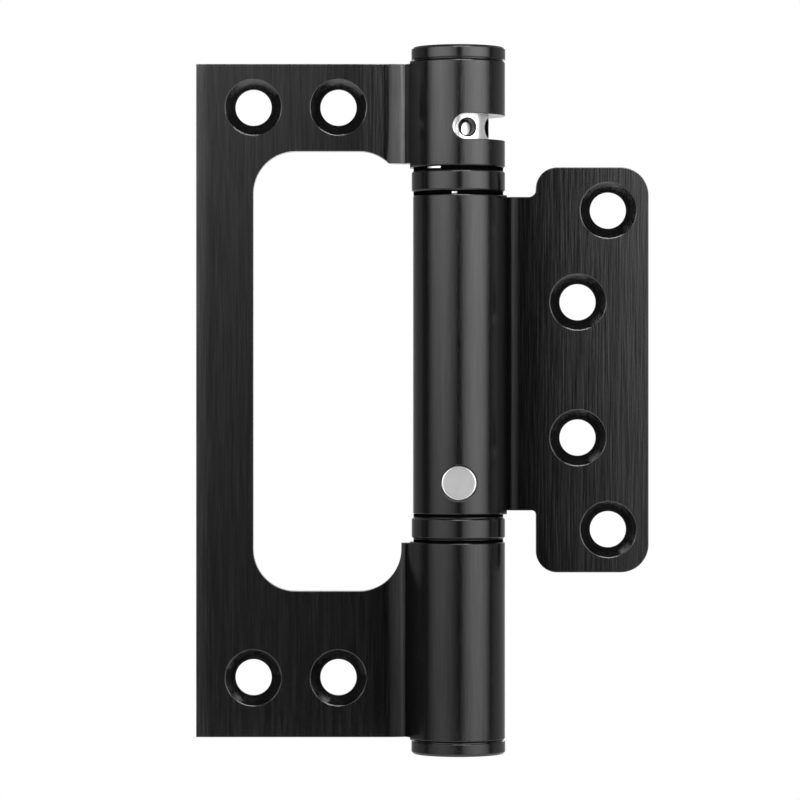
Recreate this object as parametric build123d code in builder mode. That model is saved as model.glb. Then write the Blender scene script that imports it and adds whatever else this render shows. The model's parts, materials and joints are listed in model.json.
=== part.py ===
from build123d import *
from math import acos, atan2, cos, degrees, hypot, radians, sin, sqrt, tan
from typing import NamedTuple
import os

# Self-closing flush hinge. A small door leaf folds into the window of a large frame leaf.
# Millimetres. The pin axis is Z, the origin lies on it at half the frame leaf's height.
# The countersunk faces look to -Y, the frame leaf lies towards -X and the door leaf towards +X.

# Plate and rolled knuckles
plate_thickness = 3.0
frame_knuckle_radius = 8.7
door_knuckle_radius = 8.45
frame_bend_radius = 8.0
door_bend_radius = 0.5
frame_swage_angle = 50.0
door_swage_angle = 42.0
frame_seam_reach = 1.07
door_seam_reach = 0.72
seam_gap = 0.15
knuckle_edge_chamfer = 0.25
barrel_step_radius = 9.0

# Heights along the pin
leaf_height = 125.0
knuckle_overhang = 0.5
upper_knuckle_length = 19.75
lower_knuckle_length = 36.75
bearing_gap = 5.1
upper_root_step = 0.8
lower_root_step = 0.2
neck_top_step = 0.35
neck_bottom_step = 0.75

# Door leaf
door_leaf_reach = 35.3
door_neck_length = 3.25
door_block_rise = 5.15
door_block_drop = 10.75
door_block_outer_corner = 5.2
door_block_inner_corner = 3.9
neck_top_fillet = 1.4
neck_bottom_fillet = 0.8

# Frame leaf
frame_leaf_reach = 48.7
nest_side_clearance = 2.8
nest_top_clearance = 3.0
nest_bottom_clearance = 3.5
window_root = 1.9
window_corner = 7.8

# Screw holes
screw_hole_radius = 3.37
countersink_radius = 5.25
countersink_angle = 90.0
frame_hole_edge = 10.6
frame_hole_pitch = 15.8
frame_hole_top_edge = 8.0
frame_hole_bottom_edge = 11.0
door_outer_hole_edge = 7.45
door_outer_hole_inset = 7.95
door_inner_hole_edge = 13.1
door_inner_hole_spacing = 25.2

# Slot for the tension bar, in degrees round the barrel from the front towards +X
slot_height = 4.7
slot_drop = 12.45
slot_start_angle = 8.0
slot_end_angle = 147.0

# Caps
cap_radius = 8.75
cap_thickness = 2.3
cap_seam_height = 0.3
cap_seam_depth = 0.5
cap_edge_chamfer = 0.4
top_spigot_length = 6.0
bottom_spigot_length = 3.0

# Fits
running_clearance = 0.05
seat_clearance = 0.02
inner_clearance = 0.3
spigot_clearance = 0.05
end_play = 0.05

# Thrust bearings
washer_thickness = 0.6
washer_radius = 8.35
collar_radius = 8.7
collar_wall = 1.25
collar_floor = 1.4
collar_edge_chamfer = 0.3
roller_length = 1.6
roller_count = 8
roller_ring_radius = 5.87
cage_thickness = 1.3
cage_web = 0.25
pocket_clearance = 0.08

# Tension drum and its journal
drum_edge_chamfer = 0.3
bar_hole_radius = 1.55
bar_hole_count = 6
bar_hole_depth = 2.8
bar_hole_chamfer = 0.15
bar_hole_angle = 17.0
journal_radius = 4.0
upper_bush_length = 10.0
drum_journal_foot = 1.2

# Torsion spring and the hubs that hold its ends
spring_outer_radius = 5.0
spring_wire_radial = 1.5
spring_wire_axial = 3.6
spring_coil_gap = 0.5
spring_hub_radius = 2.6
spring_hub_length = 6.0
tang_overrun = 1.8
tang_clearance = 0.15

# Anchor plug and its cross pin
plug_length = 12.1
pin_rise = 5.95
pin_radius = 3.25
pin_hole_clearance = 0.1
pin_face_sink = 0.6
pin_edge_rounding = 0.3
pin_depth = 3.0

# Lower bush and damper
lower_bush_length = 10.0
tongue_width = 3.0
tongue_height = 3.0
tongue_clearance = 0.1
rotor_head_radius = 4.4
rotor_head_height = 3.6
rotor_neck_radius = 2.5
damper_wall = 1.2
damper_floor = 2.0
gland_thickness = 3.0
seal_radius = 3.4
seal_height = 1.2
vane_width = 1.6
barrier_width = 2.2

# Worked out from the sizes above
half_leaf = leaf_height / 2
barrel_end = half_leaf + knuckle_overhang
upper_bottom = barrel_end - upper_knuckle_length
middle_top = upper_bottom - bearing_gap
lower_top = lower_knuckle_length - barrel_end
middle_bottom = lower_top + bearing_gap
slot_centre = barrel_end - slot_drop
pin_height = middle_bottom + pin_rise
frame_bore = frame_knuckle_radius - plate_thickness
door_bore = door_knuckle_radius - plate_thickness
door_block_top = middle_top + door_block_rise
door_block_bottom = middle_bottom - door_block_drop
front_face = -plate_thickness / 2
roller_space = bearing_gap - 2 * washer_thickness - collar_floor
roller_radius = roller_space / 2 - seat_clearance
drum_radius = frame_bore - running_clearance
bush_bore = journal_radius + running_clearance
washer_bore = journal_radius + inner_clearance
drum_foot = upper_bottom + end_play
drum_top = barrel_end - top_spigot_length
plug_top = middle_bottom + end_play + plug_length
upper_bush_top = middle_top - end_play
drum_hub_top = upper_bush_top - upper_bush_length - drum_journal_foot
spring_top = drum_hub_top - inner_clearance
spring_bottom = plug_top + inner_clearance
lower_bush_top = lower_top - end_play
plug_foot = lower_bush_top - lower_bush_length - end_play
rotor_top = plug_foot - tongue_clearance
damper_top = rotor_top - rotor_head_height - end_play
damper_bottom = bottom_spigot_length + end_play - barrel_end
damper_bore = frame_bore - seat_clearance - damper_wall


class Roll(NamedTuple):
    """How a leaf's plate is bent and rolled: side is 1 for a leaf towards +X and -1 towards -X."""

    side: int
    barrel_radius: float
    bend_radius: float
    swage_angle: float
    seam_reach: float


frame_roll = Roll(-1, frame_knuckle_radius, frame_bend_radius, frame_swage_angle, frame_seam_reach)
door_roll = Roll(1, door_knuckle_radius, door_bend_radius, door_swage_angle, door_seam_reach)


def bend_start(roll):
    """Distance from the pin axis at which the plate leaves its flat."""
    middle = roll.barrel_radius - plate_thickness / 2
    bend = roll.bend_radius + plate_thickness / 2
    angle = radians(roll.swage_angle)
    slope = (middle * cos(angle) - bend * (1 - cos(angle))) / sin(angle)
    return (middle + bend) * sin(angle) + slope * cos(angle)


def strip_front(roll, x):
    """Place in Y of the bent plate's front face, x away from the pin axis."""
    outer_bend = roll.bend_radius + plate_thickness
    centre_y = front_face + outer_bend
    start = bend_start(roll)
    angle = radians(roll.swage_angle)
    bend_end = start - outer_bend * sin(angle)
    if x > bend_end:
        return centre_y - sqrt(outer_bend**2 - (start - min(x, start)) ** 2)
    return centre_y - outer_bend * cos(angle) + (bend_end - x) * tan(angle)


frame_bend_start = bend_start(frame_roll)
door_bend_start = bend_start(door_roll)
window_outer = door_leaf_reach + nest_side_clearance
window_inner = frame_knuckle_radius + window_root
window_top = door_block_top + nest_top_clearance
window_bottom = door_block_bottom - nest_bottom_clearance


def rolled_section(roll):
    """Plan outline of the plate from the end of its flat to the tail that closes the roll."""
    outer = roll.barrel_radius
    bore = outer - plate_thickness
    start = bend_start(roll)
    outer_bend = roll.bend_radius + plate_thickness
    bend_centre_y = front_face + outer_bend
    join = 90 - roll.swage_angle
    seam_x = outer + roll.seam_reach
    seam_y = strip_front(roll, seam_x) - seam_gap
    tail = atan2(-seam_y, seam_x) + acos(outer / hypot(seam_x, seam_y))
    tail_angle = degrees(tail)

    def on_circle(radius, angle, x=0.0, y=0.0):
        return (roll.side * (x + radius * cos(radians(angle))), y + radius * sin(radians(angle)))

    def on_bend(radius, turned):
        return on_circle(radius, 270 - turned, start, bend_centre_y)

    def on_tail(radius):
        return (roll.side * (radius + seam_y * sin(tail)) / cos(tail), seam_y)

    far_side = (join + 360 - tail_angle) / 2
    with BuildLine() as outline:
        ThreePointArc(
            on_bend(outer_bend, 0),
            on_bend(outer_bend, roll.swage_angle / 2),
            on_bend(outer_bend, roll.swage_angle),
        )
        Line(on_bend(outer_bend, roll.swage_angle), on_circle(bore, join))
        ThreePointArc(
            on_circle(bore, join),
            on_circle(bore, far_side),
            on_circle(bore, -tail_angle),
        )
        Line(on_circle(bore, -tail_angle), on_tail(bore))
        Line(on_tail(bore), on_tail(outer))
        Line(on_tail(outer), on_circle(outer, -tail_angle))
        ThreePointArc(
            on_circle(outer, -tail_angle),
            on_circle(outer, far_side),
            on_circle(outer, join),
        )
        Line(on_circle(outer, join), on_bend(roll.bend_radius, roll.swage_angle))
        ThreePointArc(
            on_bend(roll.bend_radius, roll.swage_angle),
            on_bend(roll.bend_radius, roll.swage_angle / 2),
            on_bend(roll.bend_radius, 0),
        )
        Line(on_bend(roll.bend_radius, 0), on_bend(outer_bend, 0))
    return outline.line


def rolled_knuckle(roll, low, high, root_low, root_high):
    """A rolled knuckle: the roll reaches from low to high, its root only from root_low to root_high."""
    outline = rolled_section(roll)
    with BuildPart() as knuckle:
        with BuildSketch(Plane.XY.offset(low)):
            add(outline)
            make_face()
            Rectangle(2 * barrel_step_radius, 4 * roll.barrel_radius, mode=Mode.INTERSECT)
        extrude(amount=high - low)
        arcs = knuckle.edges().filter_by(GeomType.CIRCLE)
        outer_arcs = arcs.filter_by(lambda arc: abs(arc.radius - roll.barrel_radius) < 0.001)
        chamfer(outer_arcs, knuckle_edge_chamfer)
        with BuildSketch(Plane.XY.offset(root_low)):
            add(outline)
            make_face()
        extrude(amount=root_high - root_low)
    return knuckle.part


def countersink(x, z):
    """Drills and countersinks a screw hole from the front face of the open part's leaf."""
    with Locations(Plane(origin=(x, front_face, z), z_dir=(0, -1, 0))):
        CounterSinkHole(
            screw_hole_radius,
            countersink_radius,
            depth=plate_thickness,
            counter_sink_angle=countersink_angle,
        )


def finish(builder, name):
    """Labels a finished piece and writes it."""
    builder.part.label = name
    export_step(builder.part, f"parts/{name}.step")


def bar_slot():
    """Round-ended slot of the tension bar, as the solid that is cut from the upper knuckle's wall."""
    reach = frame_knuckle_radius + 1
    inner = frame_bore - 1
    with BuildPart() as slot:
        with BuildSketch(Plane.XZ.rotated((0, 0, slot_start_angle - 90))):
            with Locations(((inner + reach) / 2, slot_centre)):
                Rectangle(reach - inner, slot_height)
        revolve(axis=Axis.Z, revolution_arc=slot_end_angle - slot_start_angle)
        for angle in (slot_start_angle - 90, slot_end_angle - 90):
            outward = (cos(radians(angle)), sin(radians(angle)), 0)
            start = (inner * outward[0], inner * outward[1], slot_centre)
            with BuildSketch(Plane(origin=start, z_dir=outward)):
                Circle(slot_height / 2)
            extrude(amount=reach - inner)
    return slot.part


def make_frame_leaf():
    """Large leaf: one plate with a window, rolled into the upper and the lower knuckle."""
    root_bottom = upper_bottom + upper_root_step
    root_top = lower_top - lower_root_step
    upper = rolled_knuckle(frame_roll, upper_bottom, barrel_end, root_bottom, half_leaf)
    lower = rolled_knuckle(frame_roll, -barrel_end, lower_top, -half_leaf, root_top)
    slot = bar_slot()
    with BuildPart() as frame_leaf:
        with BuildSketch(Plane.XZ):
            with Locations((-frame_leaf_reach, -half_leaf)):
                Rectangle(frame_leaf_reach - frame_bend_start, leaf_height, align=Align.MIN)
        extrude(amount=plate_thickness / 2, both=True)
        add(upper)
        add(lower)
        with BuildSketch(Plane.XZ):
            with Locations((-window_outer, window_bottom)):
                RectangleRounded(
                    window_outer - window_inner,
                    window_top - window_bottom,
                    window_corner,
                    align=Align.MIN,
                )
            with Locations((-window_inner - window_corner, root_top)):
                Rectangle(window_corner, root_bottom - root_top, align=Align.MIN)
        extrude(amount=frame_knuckle_radius, both=True, mode=Mode.SUBTRACT)
        for column in range(2):
            x = frame_hole_edge + column * frame_hole_pitch - frame_leaf_reach
            countersink(x, half_leaf - frame_hole_top_edge)
            countersink(x, frame_hole_bottom_edge - half_leaf)
        add(slot, mode=Mode.SUBTRACT)
    finish(frame_leaf, "frame_leaf")


def make_door_leaf():
    """Small leaf: one plate rolled into the middle knuckle, with a neck and a wider screw block."""
    block_start = door_bend_start + door_neck_length
    block_width = door_leaf_reach - block_start
    block_centre = (door_block_top + door_block_bottom) / 2
    outer_hole_spacing = door_block_top - door_block_bottom - 2 * door_outer_hole_inset
    neck_top = middle_top - neck_top_step
    neck_bottom = middle_bottom + neck_bottom_step
    knuckle = rolled_knuckle(door_roll, middle_bottom, middle_top, neck_bottom, neck_top)
    with BuildPart() as door_leaf:
        with BuildSketch(Plane.XZ) as outline:
            with Locations((block_start, door_block_bottom)):
                Rectangle(block_width, door_block_top - door_block_bottom, align=Align.MIN)
            right = outline.vertices().group_by(Axis.X)[-1]
            fillet(right, door_block_outer_corner)
            left = outline.vertices().group_by(Axis.X)[0]
            fillet(left, door_block_inner_corner)
            with Locations((door_bend_start, neck_bottom)):
                Rectangle(
                    block_start + door_block_inner_corner - door_bend_start,
                    neck_top - neck_bottom,
                    align=Align.MIN,
                )
            fillet(outline.vertices().sort_by_distance((block_start, neck_top))[0], neck_top_fillet)
            fillet(outline.vertices().sort_by_distance((block_start, neck_bottom))[0], neck_bottom_fillet)
        extrude(amount=plate_thickness / 2, both=True)
        add(knuckle)
        for edge_distance, spacing in (
            (door_outer_hole_edge, outer_hole_spacing),
            (door_inner_hole_edge, door_inner_hole_spacing),
        ):
            for end in (-1, 1):
                countersink(door_leaf_reach - edge_distance, block_centre + end * spacing / 2)
        with BuildSketch(Plane(origin=(0, 0, pin_height), x_dir=(1, 0, 0), z_dir=(0, -1, 0))):
            Circle(pin_radius + pin_hole_clearance)
        extrude(amount=door_knuckle_radius + 1, mode=Mode.SUBTRACT)
    finish(door_leaf, "door_leaf")


def make_cap(name, end, spigot_length):
    """Turned cap with a shadow groove under its rim and a spigot pressed into the knuckle.

    end is 1 for the top of the barrel and -1 for its bottom.
    """
    rim = barrel_end + cap_seam_height
    top = rim + cap_thickness
    with BuildPart() as cap:
        with BuildSketch(Plane.XZ):
            with BuildLine():
                Polyline(
                    (0, end * (barrel_end - spigot_length)),
                    (frame_bore - spigot_clearance, end * (barrel_end - spigot_length)),
                    (frame_bore - spigot_clearance, end * barrel_end),
                    (cap_radius - cap_seam_depth, end * barrel_end),
                    (cap_radius - cap_seam_depth, end * rim),
                    (cap_radius, end * rim),
                    (cap_radius, end * top),
                    (0, end * top),
                    close=True,
                )
            make_face()
        revolve(axis=Axis.Z)
        outer = cap.edges().filter_by(GeomType.CIRCLE).sort_by(Axis.Z)[-1 if end > 0 else 0]
        chamfer(outer, cap_edge_chamfer)
    finish(cap, name)


def make_washer(name, low):
    """Flat steel washer of a thrust bearing, its lower face at low."""
    with BuildPart() as washer:
        with BuildSketch(Plane.XY.offset(low)):
            Circle(washer_radius)
            Circle(washer_bore, mode=Mode.SUBTRACT)
        extrude(amount=washer_thickness)
    finish(washer, name)


def make_collar(name, floor_side):
    """Bearing housing: a ring with a floor, open towards the frame's knuckle.

    floor_side is 1 where the floor lies below the rollers and -1 where it lies above them.
    """
    seat = middle_top if floor_side > 0 else middle_bottom
    foot = seat + floor_side * washer_thickness
    height = bearing_gap - 2 * washer_thickness - end_play
    rim = foot + floor_side * height
    track = foot + floor_side * collar_floor
    with BuildPart() as collar:
        with BuildSketch(Plane.XZ):
            with BuildLine():
                Polyline(
                    (washer_bore, foot),
                    (collar_radius - collar_edge_chamfer, foot),
                    (collar_radius, foot + floor_side * collar_edge_chamfer),
                    (collar_radius, rim - floor_side * collar_edge_chamfer),
                    (collar_radius - collar_edge_chamfer, rim),
                    (collar_radius - collar_wall, rim),
                    (collar_radius - collar_wall, track),
                    (washer_bore, track),
                    close=True,
                )
            make_face()
        revolve(axis=Axis.Z)
    finish(collar, name)


def make_rollers(name, centre):
    """Loose rollers of a thrust bearing, one solid each, lying like the spokes of a wheel."""
    with BuildPart() as rollers:
        for number in range(roller_count):
            angle = radians(360 * number / roller_count)
            outward = (cos(angle), sin(angle), 0)
            inner_end = roller_ring_radius - roller_length / 2
            start = (inner_end * outward[0], inner_end * outward[1], centre)
            with BuildSketch(Plane(origin=start, z_dir=outward)):
                Circle(roller_radius)
            extrude(amount=roller_length)
    finish(rollers, name)


def make_roller_cage(name, centre):
    """Flat ring with a pocket for each roller."""
    half_length = roller_length / 2 + pocket_clearance
    inner = washer_bore + cage_web
    outer = collar_radius - collar_wall - cage_web
    with BuildPart() as cage:
        with BuildSketch(Plane.XY.offset(centre - cage_thickness / 2)):
            Circle(outer)
            Circle(inner, mode=Mode.SUBTRACT)
            with PolarLocations(roller_ring_radius, roller_count):
                Rectangle(
                    2 * half_length,
                    2 * (roller_radius + pocket_clearance),
                    mode=Mode.SUBTRACT,
                )
        extrude(amount=cage_thickness)
    finish(cage, name)


def make_bush(name, bore, top, length):
    """Plain bearing bush pressed into a knuckle."""
    with BuildPart() as bush:
        with BuildSketch(Plane.XY.offset(top - length)):
            Circle(bore - seat_clearance)
            Circle(bush_bore, mode=Mode.SUBTRACT)
        extrude(amount=length)
    finish(bush, name)


def make_tension_drum():
    """Bright drum with radial bar holes, a journal and a slotted hub for the spring's upper end."""
    hub_foot = drum_hub_top - spring_hub_length
    with BuildPart() as drum:
        with BuildSketch(Plane.XZ):
            with BuildLine():
                Polyline(
                    (0, hub_foot),
                    (spring_hub_radius, hub_foot),
                    (spring_hub_radius, drum_hub_top),
                    (journal_radius, drum_hub_top),
                    (journal_radius, drum_foot),
                    (drum_radius - drum_edge_chamfer, drum_foot),
                    (drum_radius, drum_foot + drum_edge_chamfer),
                    (drum_radius, drum_top - drum_edge_chamfer),
                    (drum_radius - drum_edge_chamfer, drum_top),
                    (0, drum_top),
                    close=True,
                )
            make_face()
        revolve(axis=Axis.Z)
        for number in range(bar_hole_count):
            angle = radians(bar_hole_angle - 90 + 360 * number / bar_hole_count)
            inward = (-cos(angle), -sin(angle), 0)
            mouth = (-drum_radius * inward[0], -drum_radius * inward[1], slot_centre)
            with BuildSketch(Plane(origin=mouth, z_dir=inward)):
                Circle(bar_hole_radius)
            extrude(amount=bar_hole_depth, mode=Mode.SUBTRACT)
        walls = drum.faces().filter_by(GeomType.CYLINDER)
        for wall in walls.filter_by(lambda face: abs(face.radius - bar_hole_radius) < 0.001):
            chamfer(wall.edges().sort_by_distance((0, 0, slot_centre))[-1], bar_hole_chamfer)
        cut_tang_slot(hub_foot, spring_top + tang_clearance)
    finish(drum, "tension_drum")


def cut_tang_slot(low, high):
    """Cuts the slot across the open part's spring hub that takes the bent end of the spring."""
    with Locations((0, 0, low)):
        Box(
            4 * spring_hub_radius,
            spring_wire_radial + 2 * tang_clearance,
            high - low,
            align=(Align.CENTER, Align.CENTER, Align.MIN),
            mode=Mode.SUBTRACT,
        )


def make_torsion_spring():
    """Torsion spring of flat wire, each end bent across the axis into its hub."""
    mean_radius = spring_outer_radius - spring_wire_radial / 2
    first = spring_bottom + spring_wire_axial / 2
    last = spring_top - spring_wire_axial / 2
    half_turns = int(2 * (last - first) / (spring_wire_axial + spring_coil_gap))
    pitch = 2 * (last - first) / half_turns
    with BuildPart() as spring:
        with BuildLine():
            coil = Helix(pitch=pitch, height=last - first, radius=mean_radius, center=(0, 0, first))
        with BuildSketch(Plane(origin=coil @ 0, z_dir=coil % 0, x_dir=(1, 0, 0))):
            Rectangle(spring_wire_radial, spring_wire_axial)
        sweep(path=coil, is_frenet=True)
        for angle, height in ((0, first), (180 * half_turns, last)):
            with Locations(Location((0, 0, height), (0, 0, angle)) * Location((-tang_overrun, 0, 0))):
                Box(
                    spring_outer_radius + tang_overrun,
                    spring_wire_radial,
                    spring_wire_axial,
                    align=(Align.MIN, Align.CENTER, Align.CENTER),
                )
    finish(spring, "torsion_spring")


def make_anchor_plug():
    """Plug in the middle knuckle: spring hub above, journal and drive tongue below."""
    hub_top = plug_top + spring_hub_length
    body_radius = door_bore - seat_clearance
    body_foot = plug_top - plug_length
    with BuildPart() as plug:
        with BuildSketch(Plane.XZ):
            with BuildLine():
                Polyline(
                    (0, plug_foot),
                    (journal_radius, plug_foot),
                    (journal_radius, body_foot),
                    (body_radius, body_foot),
                    (body_radius, plug_top),
                    (spring_hub_radius, plug_top),
                    (spring_hub_radius, hub_top),
                    (0, hub_top),
                    close=True,
                )
            make_face()
        revolve(axis=Axis.Z)
        with BuildSketch(Plane.XY.offset(plug_foot)):
            Rectangle(2 * journal_radius, tongue_width)
            Circle(journal_radius, mode=Mode.INTERSECT)
        extrude(amount=-tongue_height)
        cut_tang_slot(spring_bottom - tang_clearance, hub_top)
        with BuildSketch(Plane(origin=(0, pin_depth + end_play, pin_height), z_dir=(0, -1, 0))):
            Circle(pin_radius + pin_hole_clearance)
        extrude(amount=2 * door_bore, mode=Mode.SUBTRACT)
    finish(plug, "anchor_plug")


def make_anchor_pin():
    """Bright pin through the knuckle's front wall into the plug."""
    face = pin_face_sink - door_knuckle_radius
    with BuildPart() as pin:
        with BuildSketch(Plane(origin=(0, face, pin_height), z_dir=(0, 1, 0))):
            Circle(pin_radius)
        extrude(amount=pin_depth - face)
        fillet(pin.edges().filter_by(GeomType.CIRCLE), pin_edge_rounding)
    finish(pin, "anchor_pin")


def make_damper_body():
    """Oil housing pressed into the lower knuckle, with one barrier rib inside."""
    outer = frame_bore - seat_clearance
    cavity_floor = damper_bottom + damper_floor
    with BuildPart() as body:
        with BuildSketch(Plane.XY.offset(damper_bottom)):
            Circle(outer)
        extrude(amount=damper_top - damper_bottom)
        with BuildSketch(Plane.XY.offset(cavity_floor)):
            Circle(damper_bore)
        extrude(amount=damper_top - cavity_floor, mode=Mode.SUBTRACT)
        with BuildSketch(Plane.XY.offset(cavity_floor)):
            with Locations((0, (damper_bore + outer) / 4)):
                Rectangle(barrier_width, (damper_bore + outer) / 2)
            Circle(rotor_neck_radius + running_clearance, mode=Mode.SUBTRACT)
        extrude(amount=damper_top - gland_thickness - cavity_floor)
    finish(body, "damper_body")


def make_damper_rotor():
    """Vane shaft of the damper, its slotted head turned by the plug's tongue."""
    neck_foot = damper_top - gland_thickness
    rotor_foot = damper_bottom + damper_floor + end_play
    with BuildPart() as rotor:
        with BuildSketch(Plane.XY.offset(rotor_foot)):
            Circle(rotor_neck_radius)
        extrude(amount=rotor_top - rotor_foot)
        with BuildSketch(Plane.XY.offset(rotor_foot)):
            Rectangle(damper_bore, vane_width, align=(Align.MIN, Align.CENTER))
            Circle(damper_bore - running_clearance, mode=Mode.INTERSECT)
        extrude(amount=neck_foot - end_play - rotor_foot)
        with BuildSketch(Plane.XY.offset(rotor_top)):
            Circle(rotor_head_radius)
        extrude(amount=-rotor_head_height)
        with BuildSketch(Plane.XY.offset(rotor_top)):
            Rectangle(3 * rotor_head_radius, tongue_width + 2 * tongue_clearance)
        extrude(amount=-tongue_height, mode=Mode.SUBTRACT)
    finish(rotor, "damper_rotor")


def make_damper_gland():
    """Cover of the oil housing, bored for the rotor's neck and recessed for the seal."""
    foot = damper_top - gland_thickness
    with BuildPart() as gland:
        with BuildSketch(Plane.XY.offset(foot)):
            Circle(damper_bore - seat_clearance)
            Circle(rotor_neck_radius + running_clearance, mode=Mode.SUBTRACT)
        extrude(amount=gland_thickness)
        with BuildSketch(Plane.XY.offset(foot)):
            Circle(seal_radius + seat_clearance)
        extrude(amount=seal_height, mode=Mode.SUBTRACT)
    finish(gland, "damper_gland")


def make_damper_seal():
    """Square-section ring round the rotor's neck, in the gland's recess."""
    with BuildPart() as seal:
        with BuildSketch(Plane.XY.offset(damper_top - gland_thickness)):
            Circle(seal_radius)
            Circle(rotor_neck_radius + running_clearance, mode=Mode.SUBTRACT)
        extrude(amount=seal_height - seat_clearance)
    finish(seal, "damper_seal")


os.makedirs("parts", exist_ok=True)

make_frame_leaf()
make_door_leaf()
make_cap("top_cap", 1, top_spigot_length - end_play)
make_cap("bottom_cap", -1, bottom_spigot_length)

make_washer("upper_knuckle_washer", upper_bottom - washer_thickness)
make_washer("upper_collar_washer", middle_top)
make_washer("lower_collar_washer", middle_bottom - washer_thickness)
make_washer("lower_knuckle_washer", lower_top)
make_collar("upper_bearing_collar", 1)
make_collar("lower_bearing_collar", -1)

upper_roller_centre = upper_bottom - washer_thickness - roller_space / 2
lower_roller_centre = lower_top + washer_thickness + roller_space / 2
make_rollers("upper_rollers", upper_roller_centre)
make_rollers("lower_rollers", lower_roller_centre)
make_roller_cage("upper_roller_cage", upper_roller_centre)
make_roller_cage("lower_roller_cage", lower_roller_centre)

make_bush("upper_bush", door_bore, upper_bush_top, upper_bush_length)
make_bush("lower_bush", frame_bore, lower_bush_top, lower_bush_length)
make_tension_drum()
make_torsion_spring()
make_anchor_plug()
make_anchor_pin()

make_damper_body()
make_damper_rotor()
make_damper_gland()
make_damper_seal()
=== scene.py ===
import json
import math

import bpy
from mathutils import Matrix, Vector


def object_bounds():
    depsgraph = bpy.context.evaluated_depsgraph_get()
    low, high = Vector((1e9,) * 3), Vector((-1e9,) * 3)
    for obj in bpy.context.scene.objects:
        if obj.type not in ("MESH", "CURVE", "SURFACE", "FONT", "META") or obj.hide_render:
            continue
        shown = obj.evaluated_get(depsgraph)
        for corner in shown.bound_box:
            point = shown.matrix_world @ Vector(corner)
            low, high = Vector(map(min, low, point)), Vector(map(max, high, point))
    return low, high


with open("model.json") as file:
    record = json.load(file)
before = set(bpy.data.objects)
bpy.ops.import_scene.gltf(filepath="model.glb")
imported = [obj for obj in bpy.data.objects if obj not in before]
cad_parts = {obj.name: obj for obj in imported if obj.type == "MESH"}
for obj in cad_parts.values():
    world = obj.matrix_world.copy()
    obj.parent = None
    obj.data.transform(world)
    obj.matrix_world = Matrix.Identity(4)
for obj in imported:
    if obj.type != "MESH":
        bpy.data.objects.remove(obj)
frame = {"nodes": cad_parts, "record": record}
nodes = frame["nodes"]
cad_box = [list(corner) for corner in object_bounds()]


# Leaves
# Each leaf is one steel plate, 3 mm thick, punched, countersunk and rolled into its knuckles.
# It is brushed along the pin and then coated black, so fine vertical lines show through. The
# knuckles are polished finer, and the slot for the tension bar is milled after coating.

BRUSH_LINE = 0.00034
BRUSH_LENGTH = 0.011
FINE_LINE = 0.00012
FINE_LENGTH = 0.00275
LINE_BREAKUP = 0.6
FRAME_LINE_SHARE = 0.5
BRUSH_DEPTH = 0.00002
BRUSH_STRENGTH = 0.75
EDGE_ROUNDING = 0.00024
EDGE_SAMPLES = 6

COAT_CLOUD = (0.012, 0.012, 0.03)
COAT_COLOURS = ((0.0006, 0.0006, 0.0007), (0.0018, 0.0018, 0.0020))
PLATE_ROUGHNESS = (0.10, 0.18)
KNUCKLE_ROUGHNESS = (0.12, 0.18)
KNUCKLE_EDGE = 0.0092

FRAME_GLOSS = 1.12
FRAME_GLOSS_STEPS = (
    (-0.60, -0.0488, -0.0462),
    (0.60, -0.0190, -0.0150),
    (-0.68, -0.0145, -0.0125),
    (0.60, -0.0108, -0.0100),
)
FRAME_BEND = (-0.0190, -0.0150)
BEND_FOOT_SHADE = 0.35
FOOT_SHADE_HEIGHTS = (-0.050, 0.055)
DOOR_GLOSS = (0.25, 0.84)
DOOR_BEND = (0.0120, 0.0192)
PLATE_LINE_GLOSS = (0.76, 1.24)
KNUCKLE_GLOSS = (0.44, 0.56)
CONE_FACING = (-0.78, -0.64)
CONE_START = 0.0165
CONE_GLOSS = 1.1

SLOT_HALF = 0.0025
SLOT_START = -0.002
SLOT_WALL = (0.0062, 0.0079)
MILLED_COLOUR = (0.62, 0.62, 0.63, 1)
MILLED_ROUGHNESS = 0.32

NOISE_DETAIL = 3.0
NOISE_BREAKUP = 0.55
NOISE_LOW = 0.3
NOISE_HIGH = 0.7

mounts = {mount["name"]: mount for mount in frame["record"]["mounts"]}
hole_height = mounts["tension_bar_hole_front"]["pos_m"][2]


def new_finish(name):
    """An empty node material with its shader and its texture coordinates."""
    material = bpy.data.materials.new(name)
    material.use_nodes = True
    tree = material.node_tree
    shader = tree.nodes["Principled BSDF"]
    place = tree.nodes.new("ShaderNodeTexCoord")
    return material, tree, shader, place.outputs["Object"]


def grain(tree, place, size, detail=NOISE_DETAIL, breakup=NOISE_BREAKUP):
    """Noise whose grains measure size (x, y, z) in metres."""
    stretch = tree.nodes.new("ShaderNodeMapping")
    stretch.inputs["Scale"].default_value = [1 / length for length in size]
    noise = tree.nodes.new("ShaderNodeTexNoise")
    noise.inputs["Scale"].default_value = 1.0
    noise.inputs["Detail"].default_value = detail
    noise.inputs["Roughness"].default_value = breakup
    tree.links.new(place, stretch.inputs["Vector"])
    tree.links.new(stretch.outputs["Vector"], noise.inputs["Vector"])
    return noise.outputs["Fac"]


def spread(tree, value, low, high, start=NOISE_LOW, end=NOISE_HIGH):
    """Maps a value from start..end, by default where noise mostly lies, to low..high."""
    ramp = tree.nodes.new("ShaderNodeMapRange")
    ramp.inputs["From Min"].default_value = start
    ramp.inputs["From Max"].default_value = end
    ramp.inputs["To Min"].default_value = low
    ramp.inputs["To Max"].default_value = high
    tree.links.new(value, ramp.inputs["Value"])
    return ramp.outputs["Result"]


def calculate(tree, operation, *values):
    """A math node on values, each a node's output or a fixed number."""
    node = tree.nodes.new("ShaderNodeMath")
    node.operation = operation
    for socket, value in zip(node.inputs, values):
        if isinstance(value, bpy.types.NodeSocket):
            tree.links.new(value, socket)
        else:
            socket.default_value = value
    return node.outputs["Value"]


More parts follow.
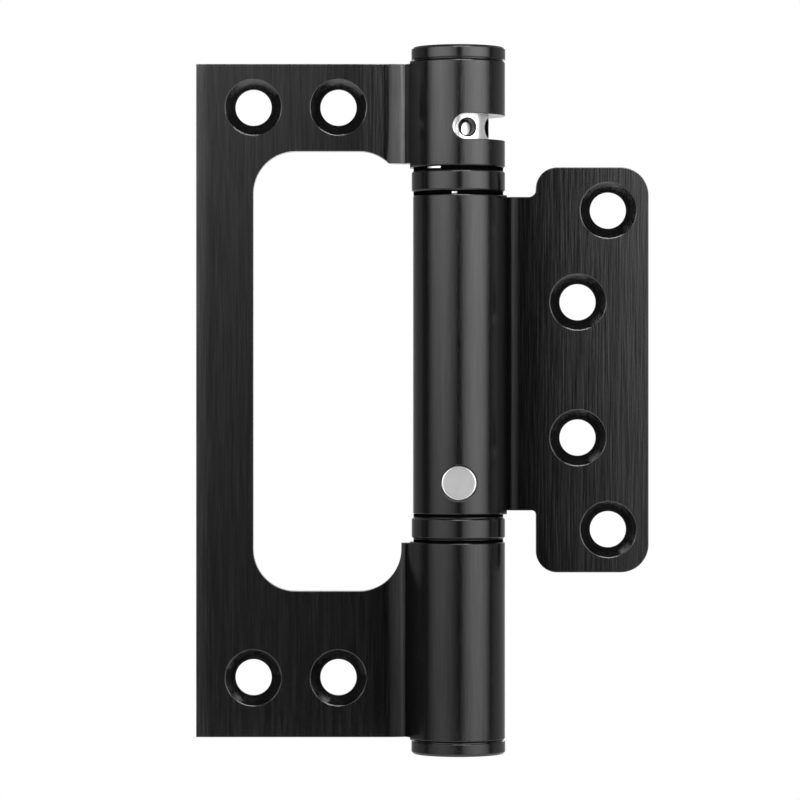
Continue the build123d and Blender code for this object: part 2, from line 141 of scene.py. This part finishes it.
def choose(tree, share, plain, marked, kind="FLOAT"):
    """plain where share is 0 and marked where it is 1, each a node's output or a fixed value."""
    mix = tree.nodes.new("ShaderNodeMix")
    mix.data_type = kind
    tree.links.new(share, mix.inputs["Factor"])
    for socket, source in ((mix.inputs["A"], plain), (mix.inputs["B"], marked)):
        if isinstance(source, bpy.types.NodeSocket):
            tree.links.new(source, socket)
        else:
            socket.default_value = source
    return mix.outputs["Result"]


def tint(tree, value, dark, light):
    """Mixes two colours, each red, green and blue, by a value."""
    return choose(tree, value, (*dark, 1), (*light, 1), "RGBA")


def band(tree, value, low, high):
    """1 where a value lies between low and high, 0 elsewhere."""
    return calculate(tree, "COMPARE", value, (low + high) / 2, (high - low) / 2)


def overlap(tree, first, second):
    """1 where both values are 1."""
    return calculate(tree, "MULTIPLY", first, second)


def directions(tree, vector):
    """X, Y and Z of a vector, each a value of its own."""
    parts = tree.nodes.new("ShaderNodeSeparateXYZ")
    tree.links.new(vector, parts.inputs["Vector"])
    return parts.outputs["X"], parts.outputs["Y"], parts.outputs["Z"]


def distance(tree, across, along):
    """Length of a step that goes across one way and along the other."""
    square = calculate(tree, "MULTIPLY_ADD", across, across, calculate(tree, "MULTIPLY", along, along))
    return calculate(tree, "SQRT", square)


def relief(tree, shader, height, depth, strength, rounding=EDGE_ROUNDING):
    """Bump of the given depth in metres over edges that are a little rounded."""
    edge = tree.nodes.new("ShaderNodeBevel")
    edge.samples = EDGE_SAMPLES
    edge.inputs["Radius"].default_value = rounding
    bump = tree.nodes.new("ShaderNodeBump")
    bump.inputs["Distance"].default_value = depth
    bump.inputs["Strength"].default_value = strength
    tree.links.new(edge.outputs["Normal"], bump.inputs["Normal"])
    tree.links.new(height, bump.inputs["Height"])
    tree.links.new(bump.outputs["Normal"], shader.inputs["Normal"])


def paint(material, *names):
    """Puts a finish on CAD nodes."""
    for name in names:
        for slot in nodes[name].material_slots:
            slot.material = material


leaf_coat, tree, shader, place = new_finish("satin_black_brushed_plate")
lines = grain(tree, place, (BRUSH_LINE, BRUSH_LINE, BRUSH_LENGTH), detail=4.0, breakup=LINE_BREAKUP)
fine_lines = grain(tree, place, (FINE_LINE, FINE_LINE, FINE_LENGTH), detail=2.0, breakup=LINE_BREAKUP)
cloud = grain(tree, place, COAT_CLOUD, detail=2.0)
side, depth, height = directions(tree, place)
radius = distance(tree, side, depth)
on_knuckle = band(tree, side, -KNUCKLE_EDGE, KNUCKLE_EDGE)
on_frame = calculate(tree, "LESS_THAN", side, -KNUCKLE_EDGE)
on_door = calculate(tree, "GREATER_THAN", side, 0.0)

# The slot's walls are bare steel in a band between the coat outside and the coat inside. The
# black coat kept at both edges is painted shade, a dark outline round the slot's mouth and inner edge.
slot_heights = band(tree, height, hole_height - SLOT_HALF, hole_height + SLOT_HALF)
slot_sides = calculate(tree, "GREATER_THAN", side, SLOT_START)
in_slot = overlap(tree, overlap(tree, slot_heights, slot_sides), band(tree, radius, *SLOT_WALL))

# The gloss is painted by place as painted shade and highlight. The door leaf's flat gains gloss
# away from its bend, which is painted shade where the barrel shades it. Steps make the frame leaf
# glossier along its outer edge and shape the highlight on its bend, and that bend is painted darker
# towards its foot. A step is a change of gloss and the two places, in X, that it lies between.
frame_gloss = FRAME_GLOSS
for change, start, end in FRAME_GLOSS_STEPS:
    frame_gloss = calculate(tree, "ADD", frame_gloss, spread(tree, side, 0, change, start, end))
foot_shade = spread(tree, height, BEND_FOOT_SHADE, 1.0, *FOOT_SHADE_HEIGHTS)
painted_bend_shade = choose(tree, spread(tree, side, 0, 1, *FRAME_BEND), 1.0, foot_shade)
frame_gloss = calculate(tree, "MULTIPLY", frame_gloss, painted_bend_shade)
door_gloss = spread(tree, side, *DOOR_GLOSS, *DOOR_BEND)
gloss = choose(tree, on_door, frame_gloss, door_gloss)

# The countersinks are cut with a sharp tool and shine more than the brushed flats. Their walls
# face halfway to the front, further from the pin axis than any knuckle.
surface = tree.nodes.new("ShaderNodeTexCoord")
_, facing, _ = directions(tree, surface.outputs["Normal"])
slanted = band(tree, facing, *CONE_FACING)
in_cone = overlap(tree, slanted, calculate(tree, "GREATER_THAN", radius, CONE_START))
gloss = choose(tree, in_cone, gloss, CONE_GLOSS)
gloss = calculate(tree, "MULTIPLY", gloss, spread(tree, lines, *PLATE_LINE_GLOSS))
gloss = choose(tree, on_knuckle, gloss, spread(tree, lines, *KNUCKLE_GLOSS))
tree.links.new(gloss, shader.inputs["Specular IOR Level"])

plate_roughness = spread(tree, lines, *PLATE_ROUGHNESS)
coat_roughness = choose(tree, on_knuckle, plate_roughness, spread(tree, lines, *KNUCKLE_ROUGHNESS))
tree.links.new(choose(tree, in_slot, coat_roughness, MILLED_ROUGHNESS), shader.inputs["Roughness"])
coat_colour = tint(tree, cloud, *COAT_COLOURS)
tree.links.new(choose(tree, in_slot, coat_colour, MILLED_COLOUR, "RGBA"), shader.inputs["Base Color"])
tree.links.new(in_slot, shader.inputs["Metallic"])

line_share = choose(tree, on_frame, 1.0, FRAME_LINE_SHARE)
brushing = choose(tree, on_knuckle, calculate(tree, "MULTIPLY", lines, line_share), fine_lines)
relief(tree, shader, brushing, BRUSH_DEPTH, BRUSH_STRENGTH)
paint(leaf_coat, "frame_leaf", "door_leaf")


# Caps and bearing collars
# Turned steel rings and caps with the same black coat over fine turning lines that run round
# the barrel. The caps are pressed into the knuckles and the collars cover the thrust bearings.

CAP_LINE = (0.01, 0.01, 0.00018)
CAP_CLOUD = (0.008, 0.008, 0.008)
CAP_ROUGHNESS = (0.13, 0.20)
CAP_COLOURS = ((0.0012, 0.0012, 0.0013), (0.003, 0.003, 0.0032))
CAP_LINE_DEPTH = 0.00002
CAP_LINE_STRENGTH = 0.14

turned_coat, tree, shader, place = new_finish("black_turned_steel")
rings = grain(tree, place, CAP_LINE, breakup=LINE_BREAKUP)
cloud = grain(tree, place, CAP_CLOUD, detail=2.0)
tree.links.new(spread(tree, rings, *CAP_ROUGHNESS), shader.inputs["Roughness"])
tree.links.new(tint(tree, cloud, *CAP_COLOURS), shader.inputs["Base Color"])
relief(tree, shader, rings, CAP_LINE_DEPTH, CAP_LINE_STRENGTH)
paint(turned_coat, "top_cap", "bottom_cap", "upper_bearing_collar", "lower_bearing_collar")


# Tension drum
# Turned steel with bright nickel plating and six radial holes for the tension bar. The holes'
# mouths and walls are painted dark as painted shade. This leaves out a patch of each hole's end
# off its middle. Half of the drum has turned dull under the slot.

DRUM_LINE = (0.006, 0.006, 0.00012)
DRUM_WEAR = (0.0015, 0.0015, 0.0015)
DRUM_ROUGHNESS = (0.10, 0.18)
DRUM_COLOURS = ((0.84, 0.84, 0.85), (0.97, 0.97, 0.97))
DRUM_LINE_DEPTH = 0.00001
DRUM_LINE_STRENGTH = 0.10
DULL_SIDE = (-0.0006, 0.0004)
DULL_ROUGHNESS = 0.34
HOLE_ANGLE = math.radians(-73)
HOLE_HALF_STEP = math.radians(30)
HOLE_EDGE = 0.00179
HOLE_END = 0.00146
HOLE_SHADE_COLOUR = (0.01, 0.01, 0.01, 1)
UNSHADED_ACROSS = 0.00061
UNSHADED_UP = -0.00022
UNSHADED_SIZE = 0.00093
UNSHADED_FLATNESS = 0.72

drum_plating, tree, shader, place = new_finish("bright_nickel")
rings = grain(tree, place, DRUM_LINE, breakup=LINE_BREAKUP)
wear = grain(tree, place, DRUM_WEAR)
side, depth, height = directions(tree, place)

# Round the drum, every hole is measured from its own middle: across it and up.
angle = calculate(tree, "ARCTAN2", depth, side)
angle = calculate(tree, "WRAP", angle, HOLE_ANGLE + HOLE_HALF_STEP, HOLE_ANGLE - HOLE_HALF_STEP)
turn = calculate(tree, "SUBTRACT", angle, HOLE_ANGLE)
across = calculate(tree, "MULTIPLY", turn, distance(tree, side, depth))
up = calculate(tree, "SUBTRACT", height, hole_height)
from_middle = distance(tree, across, up)
# The dark colour in each hole is painted shade, and an offset patch of its end keeps the plating.
unshaded_across = calculate(tree, "SUBTRACT", across, UNSHADED_ACROSS)
unshaded_up = calculate(tree, "MULTIPLY", calculate(tree, "SUBTRACT", up, UNSHADED_UP), UNSHADED_FLATNESS)
unshaded_ellipse = calculate(tree, "LESS_THAN", distance(tree, unshaded_across, unshaded_up), UNSHADED_SIZE)
unshaded_patch = overlap(tree, unshaded_ellipse, calculate(tree, "LESS_THAN", from_middle, HOLE_END))
at_hole = calculate(tree, "LESS_THAN", from_middle, HOLE_EDGE)
painted_hole_shade = overlap(tree, at_hole, calculate(tree, "SUBTRACT", 1.0, unshaded_patch))

shader.inputs["Metallic"].default_value = 1.0
dulling = spread(tree, side, 0, 1, *DULL_SIDE)
shine = choose(tree, dulling, spread(tree, rings, *DRUM_ROUGHNESS), DULL_ROUGHNESS)
tree.links.new(shine, shader.inputs["Roughness"])
plating = tint(tree, wear, *DRUM_COLOURS)
tree.links.new(choose(tree, painted_hole_shade, plating, HOLE_SHADE_COLOUR, "RGBA"), shader.inputs["Base Color"])
relief(tree, shader, rings, DRUM_LINE_DEPTH, DRUM_LINE_STRENGTH)
paint(drum_plating, "tension_drum")


# Anchor pin
# A plain steel pin pushed through the wall of the middle knuckle into the plug behind it.
# Its end is faced flat and satin, and its rounded edge is smoother and painted bright, a
# painted highlight ring.

PIN_HEIGHT = -0.0152
PIN_EDGE = (0.00296, 0.0034)
PIN_SWIRL = (0.0012, 0.0012, 0.0012)
PIN_METAL = 0.9
FACE_ROUGHNESS = (0.50, 0.62)
FACE_COLOURS = ((0.265, 0.265, 0.265), (0.33, 0.33, 0.33))
RIM_ROUGHNESS = 0.36
RIM_HIGHLIGHT_COLOUR = (0.85, 0.85, 0.85, 1)
PIN_RELIEF_DEPTH = 0.00001
PIN_RELIEF_STRENGTH = 0.15
PIN_ROUNDING = 0.00008

pin_face, tree, shader, place = new_finish("satin_faced_pin")
swirl = grain(tree, place, PIN_SWIRL, detail=4.0)
side, _, height = directions(tree, place)
from_middle = distance(tree, side, calculate(tree, "SUBTRACT", height, PIN_HEIGHT))
# The bright rim round the pin's end is a painted highlight.
rim_highlight = band(tree, from_middle, *PIN_EDGE)
shader.inputs["Metallic"].default_value = PIN_METAL
shine = choose(tree, rim_highlight, spread(tree, swirl, *FACE_ROUGHNESS), RIM_ROUGHNESS)
tree.links.new(shine, shader.inputs["Roughness"])
face_colour = tint(tree, swirl, *FACE_COLOURS)
tree.links.new(choose(tree, rim_highlight, face_colour, RIM_HIGHLIGHT_COLOUR, "RGBA"), shader.inputs["Base Color"])
relief(tree, shader, swirl, PIN_RELIEF_DEPTH, PIN_RELIEF_STRENGTH, PIN_ROUNDING)
paint(pin_face, "anchor_pin")


# Thrust bearings
# Ground steel washers and rollers under and over each collar. The rollers lie like spokes in
# the pockets of a moulded nylon cage. The washers are black. Where they are dull they are painted
# shade, the dark gaps above and below the collars, and their small patches of bright metal are
# painted glints.

WASHER_MARKS = (0.0004, 0.0004, 0.0004)
WASHER_MARK_DEPTH = 0.000008
WASHER_MARK_STRENGTH = 0.12
SMALL_ROUNDING = 0.00006
MARK_DEPTH = 0.00002
MARK_STRENGTH = 0.2
BLACK_AND_SHADE_COLOURS = ((0.0004, 0.0004, 0.0004), (0.0012, 0.0012, 0.0011))
SHADE_ROUGHNESS = 0.55
SHADE_GLOSS = 0.0
UNSHADED_ROUGHNESS = 0.18
UNSHADED_GLOSS = 0.5
GLINT_COLOUR = (0.75, 0.75, 0.76, 1)
GLINT_ROUGHNESS = 0.20
KNUCKLE_WASHER_HEIGHTS = (0.04288, 0.04320)
KNUCKLE_WASHER_GLINT = (-0.0058, -0.0034)
COLLAR_WASHER_HEIGHTS = (0.0380, 0.03852)
COLLAR_WASHER_GLINT = (-0.0013, -0.0003)
LOWER_SHADE_OVER = (-0.02158, -0.0211)
LOWER_SHADE_UNDER = (-0.0264, -0.02575)
NYLON_GLOW = 0.15
NYLON_DEPTH = (0.001, 0.0008, 0.0006)


def worked_finish(
    name,
    size,
    roughness,
    colours,
    detail=NOISE_DETAIL,
    breakup=NOISE_BREAKUP,
    depth=MARK_DEPTH,
    strength=MARK_STRENGTH,
    rounding=SMALL_ROUNDING,
    metal=1.0,
):
    """A finish whose roughness, colour and relief all follow one grain.

    size is the grain's (x, y, z) in metres, and depth and rounding are in metres too.
    """
    material, tree, shader, place = new_finish(name)
    marks = grain(tree, place, size, detail, breakup)
    shader.inputs["Metallic"].default_value = metal
    tree.links.new(spread(tree, marks, *roughness), shader.inputs["Roughness"])
    tree.links.new(tint(tree, marks, *colours), shader.inputs["Base Color"])
    relief(tree, shader, marks, depth, strength, rounding)
    return material


ground_steel = worked_finish(
    "ground_bearing_steel",
    size=WASHER_MARKS,
    roughness=(0.14, 0.26),
    colours=((0.62, 0.62, 0.63), (0.80, 0.80, 0.81)),
    depth=WASHER_MARK_DEPTH,
    strength=WASHER_MARK_STRENGTH,
)
paint(ground_steel, "upper_rollers", "lower_rollers")

cage_nylon = worked_finish(
    "natural_nylon",
    size=(0.002, 0.002, 0.002),
    roughness=(0.40, 0.55),
    colours=((0.74, 0.70, 0.60), (0.84, 0.81, 0.72)),
    metal=0.0,
)
shader = cage_nylon.node_tree.nodes["Principled BSDF"]
shader.inputs["Subsurface Weight"].default_value = NYLON_GLOW
shader.inputs["Subsurface Radius"].default_value = NYLON_DEPTH
shader.inputs["Subsurface Scale"].default_value = 1.0
paint(cage_nylon, "upper_roller_cage", "lower_roller_cage")

shaded_washer_steel, tree, shader, place = new_finish("greased_bearing_steel")
marks = grain(tree, place, WASHER_MARKS)
side, _, height = directions(tree, place)

# Painted glints: the upper two washers are bright metal in front for a few millimetres.
knuckle_washer = band(tree, height, *KNUCKLE_WASHER_HEIGHTS)
knuckle_glint = overlap(tree, knuckle_washer, band(tree, side, *KNUCKLE_WASHER_GLINT))
collar_washer = band(tree, height, *COLLAR_WASHER_HEIGHTS)
collar_glint = overlap(tree, collar_washer, band(tree, side, *COLLAR_WASHER_GLINT))
painted_glint = calculate(tree, "MAXIMUM", knuckle_glint, collar_glint)

# Painted shade: the lower two are dull and dark only next to the knuckles, and the upper two all over.
lower_over = band(tree, height, *LOWER_SHADE_OVER)
lower_under = band(tree, height, *LOWER_SHADE_UNDER)
lower_shaded = calculate(tree, "MAXIMUM", lower_over, lower_under)
painted_washer_shade = calculate(tree, "MAXIMUM", calculate(tree, "GREATER_THAN", height, 0.0), lower_shaded)

tree.links.new(painted_glint, shader.inputs["Metallic"])
gloss = choose(tree, painted_washer_shade, UNSHADED_GLOSS, SHADE_GLOSS)
tree.links.new(gloss, shader.inputs["Specular IOR Level"])
washer_roughness = choose(tree, painted_washer_shade, UNSHADED_ROUGHNESS, SHADE_ROUGHNESS)
tree.links.new(choose(tree, painted_glint, washer_roughness, GLINT_ROUGHNESS), shader.inputs["Roughness"])
black_and_shade = tint(tree, marks, *BLACK_AND_SHADE_COLOURS)
tree.links.new(choose(tree, painted_glint, black_and_shade, GLINT_COLOUR, "RGBA"), shader.inputs["Base Color"])
relief(tree, shader, marks, WASHER_MARK_DEPTH, WASHER_MARK_STRENGTH, SMALL_ROUNDING)
paint(
    shaded_washer_steel,
    "upper_knuckle_washer",
    "upper_collar_washer",
    "lower_knuckle_washer",
    "lower_collar_washer",
)


# Bushes
# Plain bushes of sintered bronze, dark with the oil that they hold. They are pressed into the
# knuckles, and the journals of the drum and of the plug turn in them.

bush_bronze = worked_finish(
    "sintered_bronze",
    size=(0.0003, 0.0003, 0.0003),
    roughness=(0.28, 0.50),
    colours=((0.36, 0.24, 0.12), (0.66, 0.48, 0.25)),
    detail=5.0,
    breakup=0.7,
    strength=0.35,
)
paint(bush_bronze, "upper_bush", "lower_bush")


# Spring and anchor plug
# The torsion spring is coiled from flat spring steel, blued by its tempering and oiled. The
# plug that anchors it is turned steel, as is the rotor that the plug turns.

spring_steel = worked_finish(
    "tempered_spring_steel",
    size=(0.0008, 0.0008, 0.004),
    roughness=(0.26, 0.44),
    colours=((0.16, 0.16, 0.19), (0.34, 0.33, 0.32)),
    detail=4.0,
    rounding=0.0001,
)
paint(spring_steel, "torsion_spring")

turned_steel = worked_finish(
    "oiled_turned_steel",
    size=(0.006, 0.006, 0.00015),
    roughness=(0.22, 0.36),
    colours=((0.42, 0.42, 0.43), (0.58, 0.58, 0.59)),
    breakup=LINE_BREAKUP,
    rounding=EDGE_ROUNDING,
)
paint(turned_steel, "anchor_plug", "damper_rotor")


# Oil damper
# A turned aluminium housing and cover pressed into the lower knuckle, with a rubber ring that
# seals the rotor's neck.

damper_alloy = worked_finish(
    "turned_aluminium",
    size=(0.006, 0.006, 0.0002),
    roughness=(0.26, 0.40),
    colours=((0.70, 0.71, 0.73), (0.82, 0.83, 0.85)),
    breakup=LINE_BREAKUP,
    rounding=EDGE_ROUNDING,
)
paint(damper_alloy, "damper_body", "damper_gland")

seal_rubber = worked_finish(
    "seal_rubber",
    size=(0.0006, 0.0006, 0.0006),
    roughness=(0.55, 0.75),
    colours=((0.008, 0.008, 0.008), (0.02, 0.02, 0.02)),
    metal=0.0,
)
paint(seal_rubber, "damper_seal")


# Floor
# A pale sheet below the hinge, which stands free of it as it does when it is held by its screws.
# Away from the hinge's shadow the camera sees it melt into the white background.

FLOOR_DROP = 0.05
FLOOR_SIDE = 0.8
FLOOR_FADE = (0.14, 0.34)
FLOOR_FIBRE = (0.002, 0.002, 0.002)
FLOOR_COLOURS = ((0.80, 0.80, 0.80), (0.83, 0.83, 0.83))
FLOOR_ROUGHNESS = 0.9


def blend_shaders(tree, share, plain, marked):
    """plain where share is 0 and marked where it is 1, each a shader's output."""
    blend = tree.nodes.new("ShaderNodeMixShader")
    tree.links.new(share, blend.inputs["Fac"])
    tree.links.new(plain, blend.inputs[1])
    tree.links.new(marked, blend.inputs[2])
    return blend.outputs["Shader"]


bpy.ops.object.select_all(action="DESELECT")
bpy.ops.mesh.primitive_plane_add(size=FLOOR_SIDE, location=(0, 0, cad_box[0][2] - FLOOR_DROP))
floor = bpy.context.object
floor.name = "studio_floor"
floor_paper, tree, shader, place = new_finish("pale_floor_paper")
fibre = grain(tree, place, FLOOR_FIBRE)
tree.links.new(tint(tree, fibre, *FLOOR_COLOURS), shader.inputs["Base Color"])
shader.inputs["Roughness"].default_value = FLOOR_ROUGHNESS
side, depth, _ = directions(tree, place)
melting = spread(tree, distance(tree, side, depth), 0, 1, *FLOOR_FADE)
path = tree.nodes.new("ShaderNodeLightPath")
blank = tree.nodes.new("ShaderNodeEmission")
blank.inputs["Strength"].default_value = 1.0
seen = calculate(tree, "MULTIPLY", melting, path.outputs["Is Camera Ray"])
paper = blend_shaders(tree, seen, shader.outputs["BSDF"], blank.outputs["Emission"])
tree.links.new(paper, tree.nodes["Material Output"].inputs["Surface"])
floor.data.materials.append(floor_paper)


# Lamps
# Two tall soft boxes stand left and right of the camera, the right one brighter. Two narrow
# boxes stand closer, where the outer edges of the leaves mirror them, and a small box above
# the camera catches the rims of the screw holes.

BOX_DISTANCE = 0.45
NEAR_DISTANCE = 0.31
BOX_LENGTH = 0.40
PIN_MIDDLE = (0, 0, 0)
TOP_BOX_WIDTH = 0.30
TOP_BOX_LENGTH = 0.24
TOP_BOX_POWER = 3.0
TOP_BOX_PLACE = (0.05, -0.28, 0.34)
TOP_BOX_AIM = (0, 0, 0.03)


def aimed_lamp(name, width, length, power, place, aim):
    """An area lamp at a place in the room, turned to shine at aim and hidden from the camera."""
    lamp = bpy.data.lights.new(name, "AREA")
    lamp.shape = "RECTANGLE"
    lamp.size = width
    lamp.size_y = length
    lamp.energy = power
    stand = bpy.data.objects.new(name, lamp)
    bpy.context.scene.collection.objects.link(stand)
    stand.location = place
    stand.rotation_euler = (Vector(aim) - Vector(place)).to_track_quat("-Z", "Y").to_euler()
    stand.visible_camera = False
    return lamp


def soft_box(name, angle, away, width, radiance, fade):
    """A tall lamp at an angle from the camera's line, aimed at the pin axis.

    It is brightest in its middle and fades sideways and downwards, so the barrel darkens
    towards its foot. radiance is its brightness at the height of the pin's middle, and fade
    the rate, per metre of height, at which it grows upwards.
    """
    around = math.radians(angle)
    place = (away * math.sin(around), -away * math.cos(around), 0)
    power = radiance * math.pi * width * BOX_LENGTH
    lamp = aimed_lamp(name, width, BOX_LENGTH, power, place, PIN_MIDDLE)
    lamp.use_nodes = True
    tree = lamp.node_tree
    surface = tree.nodes.new("ShaderNodeNewGeometry")
    over_width, over_length, _ = directions(tree, surface.outputs["Parametric"])
    across = spread(tree, over_width, -1, 1, 0, 1)
    middle = spread(tree, calculate(tree, "MULTIPLY", across, across), 1, 0, 0, 1)
    height = spread(tree, over_length, -BOX_LENGTH / 2, BOX_LENGTH / 2, 0, 1)
    growth = calculate(tree, "POWER", math.exp(fade), height)
    glow = calculate(tree, "MULTIPLY", middle, growth)
    tree.links.new(glow, tree.nodes["Emission"].inputs["Strength"])


soft_box("left_soft_box", angle=-43, away=BOX_DISTANCE, width=0.73, radiance=1.6, fade=7.0)
soft_box("right_soft_box", angle=45.5, away=BOX_DISTANCE, width=0.68, radiance=3.0, fade=3.4)
soft_box("left_near_box", angle=-6.8, away=NEAR_DISTANCE, width=0.05, radiance=0.24, fade=11.0)
soft_box("right_near_box", angle=12.6, away=NEAR_DISTANCE, width=0.07, radiance=0.66, fade=9.0)
aimed_lamp("top_soft_box", TOP_BOX_WIDTH, TOP_BOX_LENGTH, TOP_BOX_POWER, TOP_BOX_PLACE, TOP_BOX_AIM)


# World
# White where the camera looks, as the photograph's background is. Reflections see that white
# only straight behind the hinge. The rest of the room is dim behind it, more so on the left,
# and dark in front of it.

ROOM_FRONT = 0.01
ROOM_LEFT = 0.36
ROOM_RIGHT = 0.50
ROOM_SIDES = (-0.5, 0.5)
ROOM_REAR = (-0.05, 0.10)
STRAIGHT_BEHIND = (0.93, 0.99)

world = bpy.data.worlds.new("studio_room")
bpy.context.scene.world = world
world.use_nodes = True
tree = world.node_tree
tree.nodes.clear()
output = tree.nodes.new("ShaderNodeOutputWorld")
look = tree.nodes.new("ShaderNodeTexCoord")
side, rear, _ = directions(tree, look.outputs["Generated"])
rear_level = spread(tree, side, ROOM_LEFT, ROOM_RIGHT, *ROOM_SIDES)
level = choose(tree, spread(tree, rear, 0, 1, *ROOM_REAR), ROOM_FRONT, rear_level)
room = tree.nodes.new("ShaderNodeBackground")
tree.links.new(level, room.inputs["Strength"])
white = tree.nodes.new("ShaderNodeBackground")
white.inputs["Color"].default_value = (1, 1, 1, 1)
white.inputs["Strength"].default_value = 1.0
path = tree.nodes.new("ShaderNodeLightPath")
behind = spread(tree, rear, 0, 1, *STRAIGHT_BEHIND)
mirrored = calculate(tree, "MULTIPLY", path.outputs["Is Glossy Ray"], behind)
seen = calculate(tree, "MAXIMUM", path.outputs["Is Camera Ray"], path.outputs["Is Transmission Ray"])
share = calculate(tree, "MAXIMUM", seen, mirrored)
backdrop = blend_shaders(tree, share, room.outputs["Background"], white.outputs["Background"])
tree.links.new(backdrop, output.inputs["Surface"])


# Camera
# A long lens straight in front of the leaves, level with the middle of the frame leaf and a
# little to the left of the pin.

CAMERA_PLACE = (-0.01085, -0.750, 0.0001)
LENS = 181.4
SENSOR_WIDTH = 36
NEAR_LIMIT = 0.01

bpy.ops.object.camera_add(location=CAMERA_PLACE, rotation=(math.pi / 2, 0, 0))
camera = bpy.context.object
camera.data.lens = LENS
camera.data.sensor_width = SENSOR_WIDTH
camera.data.clip_start = NEAR_LIMIT
bpy.context.scene.camera = camera
bpy.context.scene.view_settings.view_transform = "Standard"
